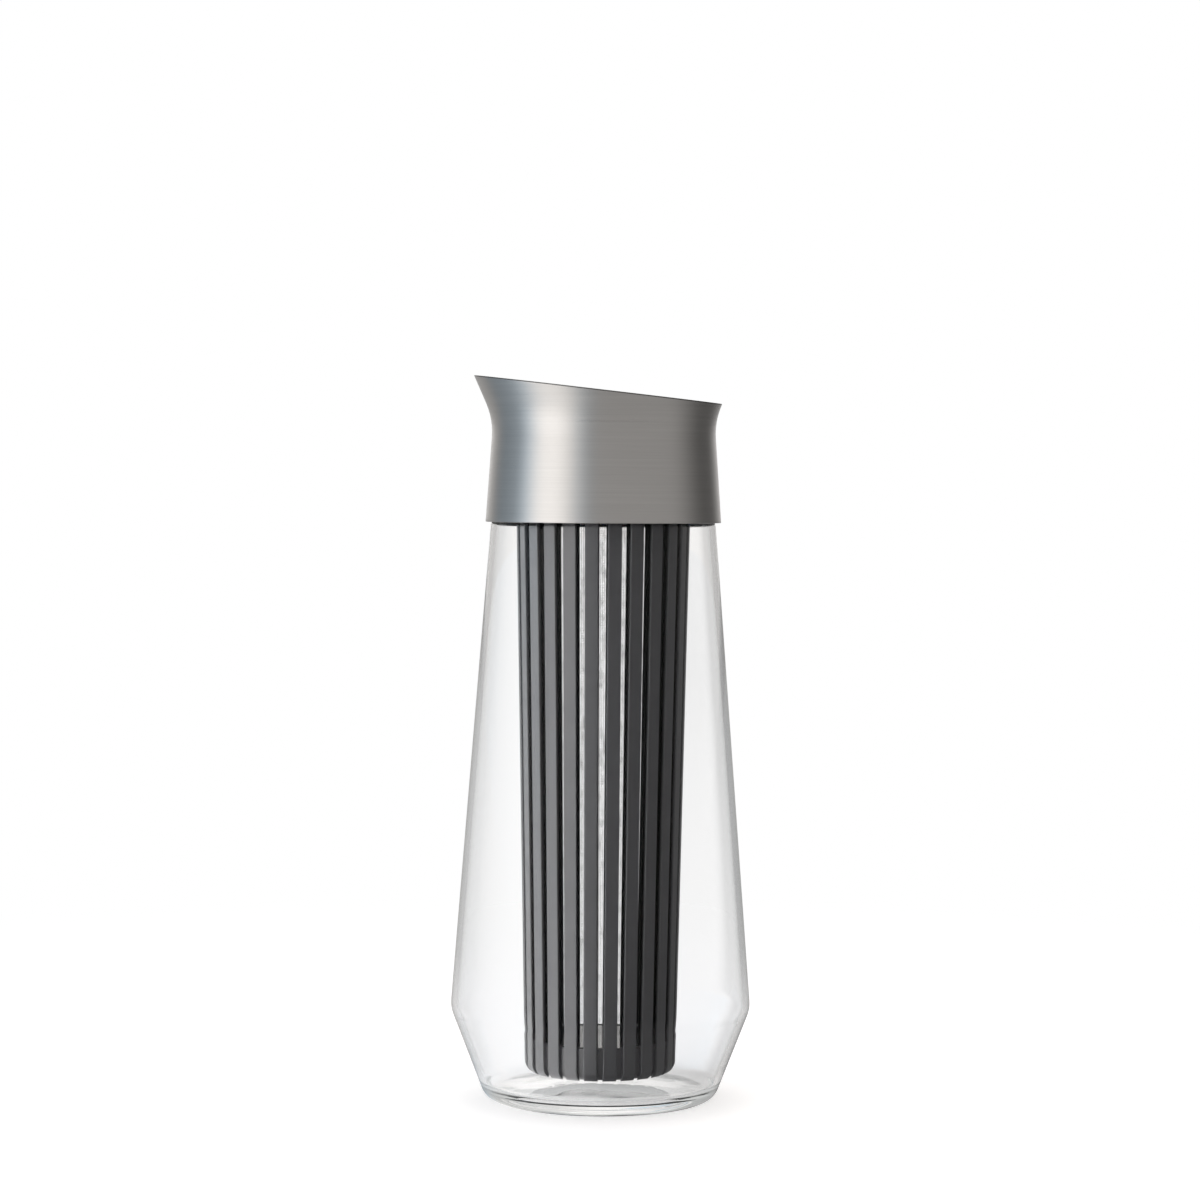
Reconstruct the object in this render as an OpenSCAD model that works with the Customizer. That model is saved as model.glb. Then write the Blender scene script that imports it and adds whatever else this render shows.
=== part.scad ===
// Cold brew carafe: a glass body, a slotted filter that hangs in its mouth, and a steel pouring
// collar whose flap swings open as the carafe is tilted.
// Millimetres, +Z up. The origin is on the table, under the body's axis. The spout points to -X.

/* [Glass body] */
// Diameter at the waist, to the corner before it is rounded
waist_d = 110.6; // [100:0.2:120]
// Height of the waist above the table
waist_z = 34; // [26:0.5:42]
// Rounding of the waist
waist_round = 12.2; // [4:0.2:16]
// Diameter of the foot, to the corner before it is rounded
foot_d = 84.2; // [76:0.2:92]
// Rounding of the foot's corner
foot_round = 6.6; // [4:0.2:9]
// Width of the flat ring that stands on the table, inside the rounding
foot_ring_w = 4; // [2:0.5:8]
// How far the middle of the underside is pushed up
punt_h = 1.2; // [0.5:0.1:4]
// Diameter of the shoulder, just under the collar
shoulder_d = 82.7; // [79:0.1:90]
// Height of the shoulder above the table
shoulder_z = 212.4; // [190:0.1:235]
// Rounding of the shoulder
shoulder_round = 3.2; // [2.6:0.1:4]
// How far the neck steps in from the shoulder
neck_step = 2.2; // [1.8:0.1:3.4]
// Height over which it steps in
neck_rise = 3; // [2.4:0.1:5]
// Rounding where the neck leaves the shoulder
neck_round = 2; // [1:0.1:3]
// Height of the straight neck that the collar covers
neck_h = 23; // [18:0.5:28]
// Thickness of the glass wall
glass_wall = 2.1; // [1.8:0.1:3]
// Thickness of the glass floor at its edge
glass_floor = 4.5; // [3:0.1:7]
// How far the floor rises to its middle
floor_rise = 2; // [0.5:0.1:4]
// Rounding inside, where the wall meets the floor
floor_round = 6; // [3:0.5:9]

/* [Filter] */
// Number of ribs round the cage
rib_count = 24; // [16:2:28]
// Width of a rib
rib_w = 5; // [3.4:0.1:5.4]
// Depth of a rib, measured towards the axis
rib_depth = 2.6; // [1.8:0.1:3.2]
// How far a rib stands proud of the band between the ribs
rib_proud = 1.5; // [0.4:0.1:2]
// Rounding of the cage's bottom edge
cage_round = 4; // [2:0.5:6]
// Slope of the cage's side
cage_draft = 1.16; // [0.5:0.02:1.6]
// How far the filter stands turned in the neck
cage_turn = -3.1; // [-7.5:0.1:7.5]
// From the rim's plug in to the outside of the ribs
rib_inset = 4.2; // [3:0.1:6]
// Height of the closed cup under the slots
cup_h = 12.3; // [8:0.1:20]
// Thickness of the cup's floor
cup_floor = 2; // [1.2:0.1:3]
// Room between the cage and the glass floor
floor_gap = 4; // [2:0.5:10]
// Height of the rim's plug inside the neck
rim_h = 10; // [7:0.5:14]
// How far the ribs are let into the rim
rib_socket = 4; // [2:0.5:5]
// Thickness of the flange that lies on the glass
flange_t = 1.6; // [1:0.1:2.4]
// How far the flange stops short of the neck's outside
flange_inset = 0.6; // [0.3:0.1:1.2]
// Thickness of the mesh sleeve
mesh_wall = 0.4; // [0.3:0.05:0.6]
// Width of the ledge that the sleeve's edge stands on
mesh_ledge = 0.4; // [0.3:0.1:1]

/* [Steel collar] */
// Thickness of the steel
steel_t = 0.8; // [0.6:0.05:1.2]
// Room between the collar's skirt and the shoulder
collar_gap = 1.2; // [0.6:0.1:2]
// Height of the collar's lower edge above the shoulder's corner
collar_rise = 0.5; // [0.2:0.1:2]
// From the neck out to the throat's corner, before it is rounded
throat_step = 1.6; // [1.3:0.1:2.6]
// Height of that corner above the glass
throat_rise = 12.1; // [10:0.1:16]
// Radius of the sweep from the skirt into the flare
throat_round = 26.4; // [16:0.2:30]
// Slope of the flare, from upright
flare_angle = 23.9; // [16:0.1:30]
// Height of the cut's middle above the throat's corner
rim_rise = 10.9; // [9:0.1:16]
// Slope of the cut that makes the spout
rim_tilt = 6.4; // [3:0.1:9]

/* [Collar liner and gasket] */
// Height of the liner's lip under the gasket
liner_lip = 1.2; // [0.8:0.1:2]
// Thickness of the deck that the flap closes
deck_t = 2.4; // [1.8:0.1:3.2]
// Height of the liner's edge above the deck
coaming_h = 2.2; // [1.2:0.1:3]
// Thickness of that edge
coaming_t = 1.3; // [0.8:0.1:2]
// Radius of the pouring hole
pour_r = 25; // [20:0.5:27]
// How far the pouring hole lies towards the spout
pour_shift = 6; // [4:0.5:8]
// Height of the raised seat round the hole
seat_h = 1.2; // [0.8:0.1:2]
// Width of the raised seat
seat_w = 1.6; // [1:0.1:2.4]
// Height of the gasket
gasket_h = 8.4; // [6:0.2:10]
// Thickness of the gasket's band, and the length of its lips
gasket_band = 0.75; // [0.6:0.05:0.85]
// Number of the gasket's lips
lip_count = 3; // [2:1:4]

/* [Flap and hinge] */
// Thickness of the flap's frame
frame_t = 1.6; // [1.2:0.1:2.4]
// Thickness of the flap's steel plate
plate_t = 0.8; // [0.5:0.05:1.2]
// How far the plate reaches past the seat
plate_lap = 2.4; // [1.6:0.1:3]
// Thickness of the flap's seal
seal_t = 1; // [0.6:0.1:1.6]
// Width of the flap's seal
seal_w = 3; // [2.4:0.1:4]
// From the plate's edge back to the hinge's axis
hinge_reach = 4.8; // [4.2:0.1:6]
// Radius of the hinge pin
pin_r = 1.2; // [0.9:0.05:1.5]
// Wall of the knuckle and the ears round the pin
knuckle_wall = 1.4; // [1:0.1:1.6]
// Length of the flap's knuckle
knuckle_l = 16; // [10:0.5:24]
// Thickness of an ear
ear_t = 3; // [2:0.1:4]

/* [Clearances] */
// Between pieces that are pressed together
fit_gap = 0.1; // [0.05:0.01:0.2]
// Between pieces that lift out of each other
slip_gap = 0.5; // [0.3:0.05:0.8]
// Between faces that rest on each other
rest_gap = 0.1; // [0.05:0.01:0.2]
// Round the hinge pin, in the knuckle that turns on it
pin_gap = 0.07; // [0.03:0.01:0.1]
// Beside the knuckle
side_gap = 0.4; // [0.2:0.05:0.8]
// Between the gasket's lips and the glass
lip_gap = 0.15; // [0.05:0.05:0.3]

/* [Hidden] */
$fn = 96;
arc_step = 4;      // degrees between the points of a rounded corner
dome_steps = 8;    // points along the domed floor
least_round = 0.4; // the tightest inside rounding

// Glass: heights and radii that the other pieces take up
foot_r = foot_d / 2;
waist_r = waist_d / 2;
shoulder_r = shoulder_d / 2;
neck_r = shoulder_r - neck_step;
neck_in_r = neck_r - glass_wall;
neck_z = shoulder_z + neck_rise;
mouth_z = neck_z + neck_h;
lip_round = glass_wall * 0.45;
foot_ring_r = foot_r - foot_round - foot_ring_w;

// Filter
plug_r = neck_in_r - slip_gap;
flange_r = neck_r - flange_inset;
flange_z = mouth_z + rest_gap;
flange_top_z = flange_z + flange_t;
rim_z = mouth_z - rim_h;
rib_top_z = rim_z + rib_socket;
cage_z = glass_floor + floor_rise + floor_gap;
cup_top_z = cage_z + cup_h;
rib_pitch = 360 / rib_count;
sleeve_in = rib_depth + rest_gap + mesh_wall;
wall_in = sleeve_in + mesh_ledge;
function cage_r(z) = plug_r - rib_inset - (mouth_z - z) * tan(cage_draft);

// Lid
collar_z = shoulder_z + collar_rise;
collar_r = shoulder_r + collar_gap + steel_t;
throat_r = neck_r + throat_step;
throat_z = mouth_z + throat_rise;
cut_z = throat_z + rim_rise;
flare_top_z = cut_z + (throat_r + rim_rise) * tan(rim_tilt) + rim_rise;
flare_top_r = throat_r + (flare_top_z - throat_z) * tan(flare_angle);
collar_path = [[collar_r, collar_z, 0], [throat_r, throat_z, throat_round], [flare_top_r, flare_top_z, 0]];
liner_z = neck_z + slip_gap;
liner_in_r = neck_r + slip_gap;
deck_z = flange_top_z + rest_gap;
deck_top_z = deck_z + deck_t;
liner_top_z = deck_top_z + coaming_h;
groove_r = neck_r + lip_gap + 2 * gasket_band;
gasket_z = liner_z + liner_lip;

// Flap
seat_top_z = deck_top_z + seat_h;
seal_z = seat_top_z + rest_gap;
frame_z = seal_z + seal_t;
plate_z = frame_z + frame_t;
plate_r = pour_r + seat_w + plate_lap;
frame_r = plate_r - plate_t - fit_gap;
seal_r = pour_r + seat_w / 2;
knuckle_r = pin_r + knuckle_wall;
hinge_x = plate_r - pour_shift + hinge_reach;
hinge_z = deck_top_z + knuckle_r + side_gap;
heel_l = knuckle_r + side_gap / 2;
ear_y = knuckle_l / 2 + side_gap;
pin_l = 2 * (ear_y + ear_t);

// Outlines. A path is a list of corners [x, y, rounding], with plain ends.
function unit(v) = v / norm(v);
function xy(p) = [p.x, p.y];
function left(a, b) = let (d = unit(xy(b) - xy(a))) [-d.y, d.x];
function turn(a, b, c) = cross(xy(b) - xy(a), xy(c) - xy(b));

// The points of the arc that rounds corner b between its neighbours a and c
function corner_arc(a, b, c) =
    let (
        u = unit(xy(a) - xy(b)),
        v = unit(xy(c) - xy(b)),
        half = acos(u * v) / 2,
        centre = xy(b) + unit(u + v) * b[2] / sin(half),
        from = xy(b) + u * b[2] / tan(half) - centre,
        sweep = (180 - 2 * half) * sign(turn(a, b, c)),
        steps = max(2, ceil(abs(sweep) / arc_step)),
        begin = atan2(from.y, from.x)
    )
    [for (i = [0:steps]) let (t = begin + sweep * i / steps) centre + b[2] * [cos(t), sin(t)]];

// A path's points, with its corners rounded
function rounded(path) = [
    for (i = [0:len(path) - 1])
        let (p = path[i], inner = i > 0 && i < len(path) - 1)
        each inner && p[2] > 0 ? corner_arc(path[i - 1], p, path[i + 1]) : [xy(p)]
];

// A path moved to its left by d, with each rounding kept concentric
function shifted(path, d) = [
    for (i = [0:len(path) - 1])
        let (
            last = len(path) - 1,
            p = path[i],
            n0 = left(path[max(i - 1, 0)], path[max(i, 1)]),
            n1 = left(path[min(i, last - 1)], path[min(i + 1, last)]),
            bend = i > 0 && i < last ? turn(path[i - 1], p, path[i + 1]) : 0,
            moved = xy(p) + d * (n0 + n1) / (1 + n0 * n1)
        )
        [moved.x, moved.y, bend == 0 ? 0 : max(least_round, p[2] - sign(bend) * d)]
];

function reversed(list) = [for (i = [len(list) - 1:-1:0]) list[i]];

// A shallow dome's points from the axis out to radius r, rising by h above z in the middle
function dome(r, z, h) = [
    for (i = [0:dome_steps]) let (t = i / dome_steps) [r * t, z + h * (1 - t * t)]
];

// The space inside the collar's path moved in by d, as a flat region between two heights
module inside_collar(d, low, high) {
    intersection() {
        polygon(concat([[0, collar_z - 1]], [[collar_r - d, collar_z - 1]],
            rounded(shifted(collar_path, d)), [[0, flare_top_z]]));
        translate([0, low]) square([flare_top_r, high - low]);
    }
}

// A ring round the axis, from its inner and outer radius and its two heights
module ring(r_in, r_out, low, high) {
    rotate_extrude() translate([r_in, low]) square([r_out - r_in, high - low]);
}

// Glass body: one blown wall with a waist, a shoulder, a straight neck and a domed floor
module glass_body() {
    side = [
        [foot_r, 0, foot_round], [waist_r, waist_z, waist_round],
        [shoulder_r, shoulder_z, shoulder_round], [neck_r, neck_z, neck_round], [neck_r, mouth_z, lip_round]
    ];
    bore = shifted(side, glass_wall);
    lean = (bore[1].x - bore[0].x) / (bore[1].y - bore[0].y);
    floor_r = bore[0].x + (glass_floor - bore[0].y) * lean;
    floor_ring_r = floor_r - floor_round;
    outline = concat(
        [[foot_ring_r, 0, 0]],
        side,
        [[neck_in_r, mouth_z, lip_round], bore[3], bore[2], bore[1]],
        [[floor_r, glass_floor, floor_round], [floor_ring_r, glass_floor, 0]]
    );
    color([0.93, 0.95, 0.95, 0.35])
        rotate_extrude()
            polygon(concat(
                dome(foot_ring_r, 0, punt_h),
                rounded(outline),
                reversed(dome(floor_ring_r, glass_floor, floor_rise))
            ));
}

// The cage's outer form, which rounds off the ribs' lower ends
module cage_form(inset, low) {
    top = rib_top_z;
    rotate_extrude()
        polygon(concat(
            [[0, low]],
            rounded([
                [0, low, 0], [cage_r(low) - inset, low, cage_round], [cage_r(top) - inset, top, 0]
            ]),
            [[0, top]]
        ));
}

// Ribs: straight bars with flat faces, leaning with the cage's draft
module filter_ribs() {
    bar_l = rib_top_z - cage_z + rib_depth;
    color([0.23, 0.23, 0.24])
        intersection() {
            for (i = [0:rib_count - 1])
                rotate([0, 0, (i + 0.5) * rib_pitch + cage_turn])
                    translate([cage_r(cage_z), 0, cage_z])
                        rotate([0, cage_draft, 0])
                            translate([-rib_depth, -rib_w / 2, -rib_depth / 2])
                                cube([rib_depth, rib_w, bar_l]);
            cage_form(-rib_w / cage_r(cage_z), cage_z);
        }
}

// Cup: the closed bottom of the cage, hollow under its floor, with a groove for each rib
module filter_cup() {
    band_z = cage_z + rib_proud / 5;
    floor_top_z = cup_top_z - mesh_ledge;
    hollow_r = cage_r(band_z) - rib_proud - cage_round - cup_floor / 2;
    color([0.22, 0.22, 0.23])
        difference() {
            cage_form(rib_proud, band_z);
            cylinder(r = hollow_r, h = floor_top_z - cup_floor);
            translate([0, 0, floor_top_z]) cylinder(r = cage_r(cup_top_z) - wall_in, h = rib_top_z);
            translate([0, 0, cup_top_z]) cylinder(r = plug_r, h = rib_top_z);
            filter_ribs();
        }
}

// Mesh: a sleeve behind the ribs, from the cup's edge up to the rim
module filter_mesh() {
    low_r = cage_r(cup_top_z) - sleeve_in;
    high_r = cage_r(rim_z) - sleeve_in;
    color([0.86, 0.86, 0.84, 0.5])
        rotate_extrude()
            polygon([
                [low_r, cup_top_z], [low_r + mesh_wall, cup_top_z],
                [high_r + mesh_wall, rim_z], [high_r, rim_z]
            ]);
}

// Rim: the plug that centres the filter in the neck, and the flange that hangs it on the glass
module filter_rim() {
    in_r = cage_r(rim_z) - wall_in;
    color([0.22, 0.22, 0.23])
        difference() {
            rotate_extrude()
                polygon([
                    [in_r, rim_z], [plug_r, rim_z], [plug_r, flange_z],
                    [flange_r, flange_z], [flange_r, flange_top_z], [in_r, flange_top_z]
                ]);
            filter_ribs();
        }
}

// Collar: a spun steel shell, flared at the top and cut on a slope so that its high side pours
module spout_collar() {
    reach = 3 * flare_top_r;
    color([0.66, 0.66, 0.65])
        difference() {
            rotate_extrude()
                polygon(concat(rounded(collar_path), reversed(rounded(shifted(collar_path, steel_t)))));
            translate([0, 0, cut_z])
                rotate([0, rim_tilt, 0])
                    translate([-reach / 2, -reach / 2, 0])
                        cube([reach, reach, reach]);
        }
}

// Ears: the two lugs that rise from within the deck and hold the hinge pin
module ears() {
    root_z = deck_top_z - deck_t / 2;
    for (side = [-1, 1])
        translate([hinge_x, side * (ear_y + ear_t / 2), 0]) {
            translate([-knuckle_r, -ear_t / 2, root_z])
                cube([2 * knuckle_r, ear_t, hinge_z - root_z]);
            translate([0, 0, hinge_z])
                rotate([90, 0, 0])
                    cylinder(r = knuckle_r, h = ear_t, center = true);
        }
}

// A round bar along the hinge's axis
module hinge_bar(r, l) {
    translate([hinge_x, 0, hinge_z]) rotate([90, 0, 0]) cylinder(r = r, h = l, center = true);
}

// Liner: the plastic core of the collar, with the deck, its raised seat and the hinge's ears
module collar_liner() {
    skin = steel_t + fit_gap;
    color([0.14, 0.14, 0.15])
        difference() {
            union() {
                rotate_extrude()
                    difference() {
                        inside_collar(skin, liner_z, liner_top_z);
                        inside_collar(skin + coaming_t, deck_top_z, liner_top_z + 1);
                        translate([0, liner_z - 1]) square([liner_in_r, deck_z - liner_z + 1]);
                        translate([0, gasket_z]) square([groove_r, gasket_h]);
                    }
                translate([-pour_shift, 0, deck_z])
                    cylinder(r = pour_r + seat_w, h = seat_top_z - deck_z);
                ears();
            }
            translate([-pour_shift, 0, deck_z - 1]) cylinder(r = pour_r, h = deck_t + seat_h + 2);
            hinge_bar(pin_r, pin_l + 2);
        }
}

// Gasket: a soft band in the liner's groove, with lips that bear on the neck
module neck_gasket() {
    lip_r = neck_r + lip_gap;
    band_r = lip_r + gasket_band;
    pitch = (gasket_h - 2 * rest_gap) / lip_count;
    low = gasket_z + rest_gap;
    color([0.80, 0.80, 0.79])
        rotate_extrude()
            polygon(concat(
                [[groove_r - rest_gap, low + lip_count * pitch], [groove_r - rest_gap, low]],
                [for (i = [0:lip_count - 1]) each [[band_r, low + i * pitch], [lip_r, low + (i + 0.6) * pitch]]],
                [[band_r, low + lip_count * pitch]]
            ));
}

// Frame: the flap's plastic disc, with the knuckle and the heel that stops it when open
module flap_frame() {
    color([0.14, 0.14, 0.15])
        difference() {
            union() {
                translate([-pour_shift, 0, frame_z]) cylinder(r = frame_r, h = frame_t);
                translate([-pour_shift, -knuckle_l / 2, frame_z])
                    cube([hinge_x + pour_shift, knuckle_l, frame_t]);
                hinge_bar(knuckle_r, knuckle_l);
                translate([hinge_x, -knuckle_l / 2, hinge_z])
                    cube([heel_l, knuckle_l, knuckle_r]);
            }
            hinge_bar(pin_r + pin_gap, knuckle_l + 2);
        }
}

// Plate: a pressed steel cap over the frame, notched where the knuckle's arm leaves it
module flap_plate() {
    color([0.70, 0.70, 0.69])
        difference() {
            translate([-pour_shift, 0, frame_z]) cylinder(r = plate_r, h = frame_t + fit_gap + plate_t);
            translate([-pour_shift, 0, frame_z - 1]) cylinder(r = plate_r - plate_t, h = frame_t + fit_gap + 1);
            translate([-pour_shift, -knuckle_l / 2 - fit_gap, frame_z - 1])
                cube([2 * plate_r, knuckle_l + 2 * fit_gap, frame_t + fit_gap + 1]);
        }
}

// Seal: a soft ring under the frame that closes on the seat
module flap_seal() {
    color([0.80, 0.80, 0.79])
        translate([-pour_shift, 0, 0])
            ring(seal_r - seal_w / 2, seal_r + seal_w / 2, seal_z, frame_z);
}

// Pin: a plain steel rod through the ears and the knuckle
module flap_pin() {
    color([0.75, 0.75, 0.74]) hinge_bar(pin_r, pin_l);
}

glass_body();
filter_rim();
filter_ribs();
filter_mesh();
filter_cup();
spout_collar();
collar_liner();
neck_gasket();
flap_frame();
flap_plate();
flap_seal();
flap_pin();
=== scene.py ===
"""Dresses a cold brew carafe: clear glass, a slotted filter and a brushed steel pouring collar.

Every piece is a surface worked out with numpy in the frame of the packed solids, in metres, with
the spout towards -X and +Z up. The sizes carry the names that the part's source gives them.
"""

from functools import partialmethod, wraps
from math import cos, pi, radians, sin, tan
from types import SimpleNamespace

import bpy
import numpy as np
from bpy.props import FloatProperty, FloatVectorProperty, IntProperty, PointerProperty
from bpy.types import Operator, Panel, PropertyGroup
from mathutils import Matrix, Vector


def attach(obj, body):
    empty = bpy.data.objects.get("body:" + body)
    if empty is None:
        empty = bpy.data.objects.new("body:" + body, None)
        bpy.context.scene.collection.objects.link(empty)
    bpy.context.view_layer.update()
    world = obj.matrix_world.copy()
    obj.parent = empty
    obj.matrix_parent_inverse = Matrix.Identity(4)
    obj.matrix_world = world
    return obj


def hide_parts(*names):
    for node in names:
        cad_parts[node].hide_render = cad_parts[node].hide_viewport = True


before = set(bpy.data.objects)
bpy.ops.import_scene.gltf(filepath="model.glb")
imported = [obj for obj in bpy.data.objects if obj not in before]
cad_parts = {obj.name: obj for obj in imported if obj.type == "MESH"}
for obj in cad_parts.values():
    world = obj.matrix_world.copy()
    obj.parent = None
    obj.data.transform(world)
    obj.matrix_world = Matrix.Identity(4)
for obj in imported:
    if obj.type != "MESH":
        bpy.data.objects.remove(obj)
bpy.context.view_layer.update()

bl_info = {
    "name": "Cold Brew Carafe",
    "version": (1, 0, 0),
    "blender": (4, 5, 0),
    "location": "3D View > Sidebar > Carafe",
    "description": "Builds the pieces of a cold brew carafe, their finishes and a plain studio",
    "category": "Object",
}

MM = 0.001              # metres in a millimetre
IMAGE_SIDE = 1200       # the picture's side in pixels
SENSOR = 36.0           # the camera's sensor width in millimetres
AROUND = 192            # columns round a turned piece
ARC_STEP = radians(5)   # turn from one point of a rounded corner to the next
SHARP = radians(40)     # edges that turn by more stay sharp
STRAIGHT = 1e-6         # a corner whose half angle is this near a right angle has no arc
POLE = 1e-9             # a row of points that is no wider is one point
LEAST_ROUND = 0.4 * MM  # the smallest rounding that a shifted path keeps
GLASS_IOR, PLASTIC_IOR = 1.48, 1.6
WHITE = (1.0, 1.0, 1.0, 1.0)

# Lights by direction, in degrees: the middle, the half width where full and the half width where gone
WINDOW, WINDOW_HEIGHT = (-56, 4, 46), (-5, 14, 50)
LEFT_SCREEN, RIGHT_SCREEN, SCREEN_HEIGHT = (-124, 4, 22), (124, 6, 56), (0, 40, 80)
COOL_LEFT, COOL_RIGHT = (-104, 14, 40), (-20, 4, 16)
KEY = (-80, 45, 72)
WARM_LIGHT, COOL_LIGHT = (1.0, 0.985, 0.97, 1.0), (0.84, 0.98, 1.1, 1.0)


# Properties


def length(name, description, mm):
    """A size in metres, given in millimetres."""
    return FloatProperty(name=name, description=description, default=mm * MM,
                         precision=5, subtype="DISTANCE", unit="LENGTH")


def angle(name, description, degrees):
    """An angle, given in degrees."""
    return FloatProperty(name=name, description=description, default=radians(degrees),
                         subtype="ANGLE", unit="ROTATION")


def tint(name, description, *colour):
    """A colour, given as linear red, green and blue."""
    return FloatVectorProperty(name=name, description=description, default=colour, size=3,
                               min=0.0, max=1.0, subtype="COLOR")


def level(name, description, value):
    """A plain number, such as a light's level."""
    return FloatProperty(name=name, description=description, default=value)


class CarafeGlass(PropertyGroup):
    """Sizes of the glass body"""

    waist_d: length("Waist", "Diameter at the waist's corner, before it is rounded", 110.6)
    waist_z: length("Waist height", "Height of the waist above the table", 34)
    waist_round: length("Waist rounding", "Rounding of the waist", 12.2)
    foot_d: length("Foot", "Diameter at the foot's corner, before it is rounded", 84.2)
    foot_round: length("Foot rounding", "Rounding of the foot's corner", 6.6)
    foot_ring_w: length("Foot ring", "Width of the flat ring that stands on the table", 4)
    punt_h: length("Punt", "How far the middle of the underside is pushed up", 1.2)
    shoulder_d: length("Shoulder", "Diameter just under the collar", 82.7)
    shoulder_z: length("Shoulder height", "Height of the shoulder above the table", 212.4)
    shoulder_round: length("Shoulder rounding", "Rounding of the shoulder", 3.2)
    neck_step: length("Neck step", "How far the neck steps in from the shoulder", 2.2)
    neck_rise: length("Neck rise", "Height over which the neck steps in", 3)
    neck_round: length("Neck rounding", "Rounding where the neck leaves the shoulder", 2)
    neck_h: length("Neck", "Height of the straight neck under the collar", 23)
    glass_wall: length("Wall", "Thickness of the glass wall", 2.1)
    glass_floor: length("Floor", "Thickness of the glass floor at its edge", 4.5)
    floor_rise: length("Floor rise", "How far the floor rises to its middle", 2)
    floor_round: length("Floor rounding", "Rounding where the wall meets the floor", 6)


class CarafeFilter(PropertyGroup):
    """Sizes of the filter's cage and its mesh"""

    rib_count: IntProperty(name="Ribs", description="Number of ribs round the cage", default=24, min=3)
    rib_w: length("Rib width", "Width of a rib", 5)
    rib_depth: length("Rib depth", "Depth of a rib towards the axis", 2.6)
    rib_proud: length("Rib proud", "How far a rib stands out of the band between the ribs", 1.5)
    rib_edge: length("Rib edge", "Rounding of a rib's long edges", 0.35)
    cage_round: length("Cage rounding", "Rounding of the cage's bottom edge", 4)
    cage_draft: angle("Cage draft", "Slope of the cage's side", 1.16)
    cage_turn: angle("Cage turn", "How far the filter stands turned in the neck", -3.1)
    rib_inset: length("Rib inset", "From the rim's plug in to the outside of the ribs", 4.2)
    cup_h: length("Cup", "Height of the closed cup under the slots", 12.3)
    cup_floor: length("Cup floor", "Thickness of the cup's floor", 2)
    floor_gap: length("Floor gap", "Room between the cage and the glass floor", 4)
    rim_h: length("Rim", "Height of the rim's plug inside the neck", 10)
    rib_socket: length("Rib socket", "How far the ribs are let into the rim", 4)
    flange_t: length("Flange", "Thickness of the flange that lies on the glass", 1.6)
    flange_inset: length("Flange inset", "From the neck's outside in to the flange's edge", 0.6)
    mesh_wall: length("Mesh wall", "Thickness of the mesh sleeve", 0.4)
    mesh_ledge: length("Mesh ledge", "Width of the ledge that the sleeve stands on", 0.4)
    thread_pitch: length("Thread pitch", "From one thread of the mesh to the next", 0.6)
    thread_w: length("Thread", "Width of a thread of the mesh", 0.03)


class CarafeCollar(PropertyGroup):
    """Sizes of the steel collar, its plastic core and the neck's gasket"""

    steel_t: length("Steel", "Thickness of the steel", 0.8)
    collar_gap: length("Collar gap", "Room between the collar's skirt and the shoulder", 1.2)
    collar_rise: length("Collar rise", "Height of the collar's lower edge above the shoulder's corner", 0.5)
    throat_step: length("Throat step", "From the neck out to the throat's corner", 1.6)
    throat_rise: length("Throat rise", "Height of the throat's corner above the glass", 12.1)
    throat_round: length("Throat sweep", "Radius of the sweep from the skirt into the flare", 26.4)
    flare_angle: angle("Flare", "Slope of the flare from upright", 23.9)
    rim_rise: length("Rim rise", "Height of the cut's middle above the throat's corner", 10.9)
    rim_tilt: angle("Rim tilt", "Slope of the cut that makes the spout", 6.4)
    rim_edge: length("Rim edge", "Height over which the steel's edges are rounded", 0.25)
    liner_lip: length("Core lip", "Height of the core's lip under the gasket", 1.2)
    deck_t: length("Deck", "Thickness of the deck that the flap closes", 2.4)
    coaming_h: length("Coaming", "Height of the core's edge above the deck", 2.2)
    coaming_t: length("Coaming wall", "Thickness of that edge", 1.3)
    pour_r: length("Pouring hole", "Radius of the pouring hole", 25)
    pour_shift: length("Hole shift", "How far the pouring hole lies towards the spout", 6)
    seat_h: length("Seat height", "Height of the raised seat round the hole", 1.2)
    seat_w: length("Seat width", "Width of the raised seat", 1.6)
    gasket_h: length("Gasket", "Height of the gasket", 8.4)
    gasket_band: length("Gasket band", "Thickness of the gasket's band and length of its lips", 0.75)
    lip_count: IntProperty(name="Lips", description="Number of the gasket's lips", default=3, min=1)
    edge: length("Moulded edge", "Rounding of the moulded pieces' edges", 0.3)


class CarafeFlap(PropertyGroup):
    """Sizes of the flap, its hinge and the clearances"""

    frame_t: length("Frame", "Thickness of the flap's frame", 1.6)
    plate_t: length("Plate", "Thickness of the flap's steel plate", 0.8)
    plate_lap: length("Plate lap", "How far the plate reaches past the seat", 2.4)
    plate_edge: length("Plate edge", "Rounding of the plate's upper edge", 0.7)
    seal_t: length("Seal", "Thickness of the flap's seal", 1)
    seal_w: length("Seal width", "Width of the flap's seal", 3)
    hinge_reach: length("Hinge reach", "From the plate's edge back to the hinge's axis", 4.8)
    pin_r: length("Pin", "Radius of the hinge pin", 1.2)
    knuckle_wall: length("Knuckle wall", "Wall of the knuckle and the ears round the pin", 1.4)
    knuckle_l: length("Knuckle", "Length of the flap's knuckle", 16)
    ear_t: length("Ear", "Thickness of an ear", 3)
    fit_gap: length("Press gap", "Between pieces that are pressed together", 0.1)
    slip_gap: length("Slip gap", "Between pieces that lift out of each other", 0.5)
    rest_gap: length("Rest gap", "Between faces that rest on each other", 0.1)
    pin_gap: length("Pin gap", "Round the hinge pin in the knuckle", 0.07)
    side_gap: length("Side gap", "Beside the knuckle", 0.4)
    lip_gap: length("Lip gap", "Between the gasket's lips and the glass", 0.15)


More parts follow.
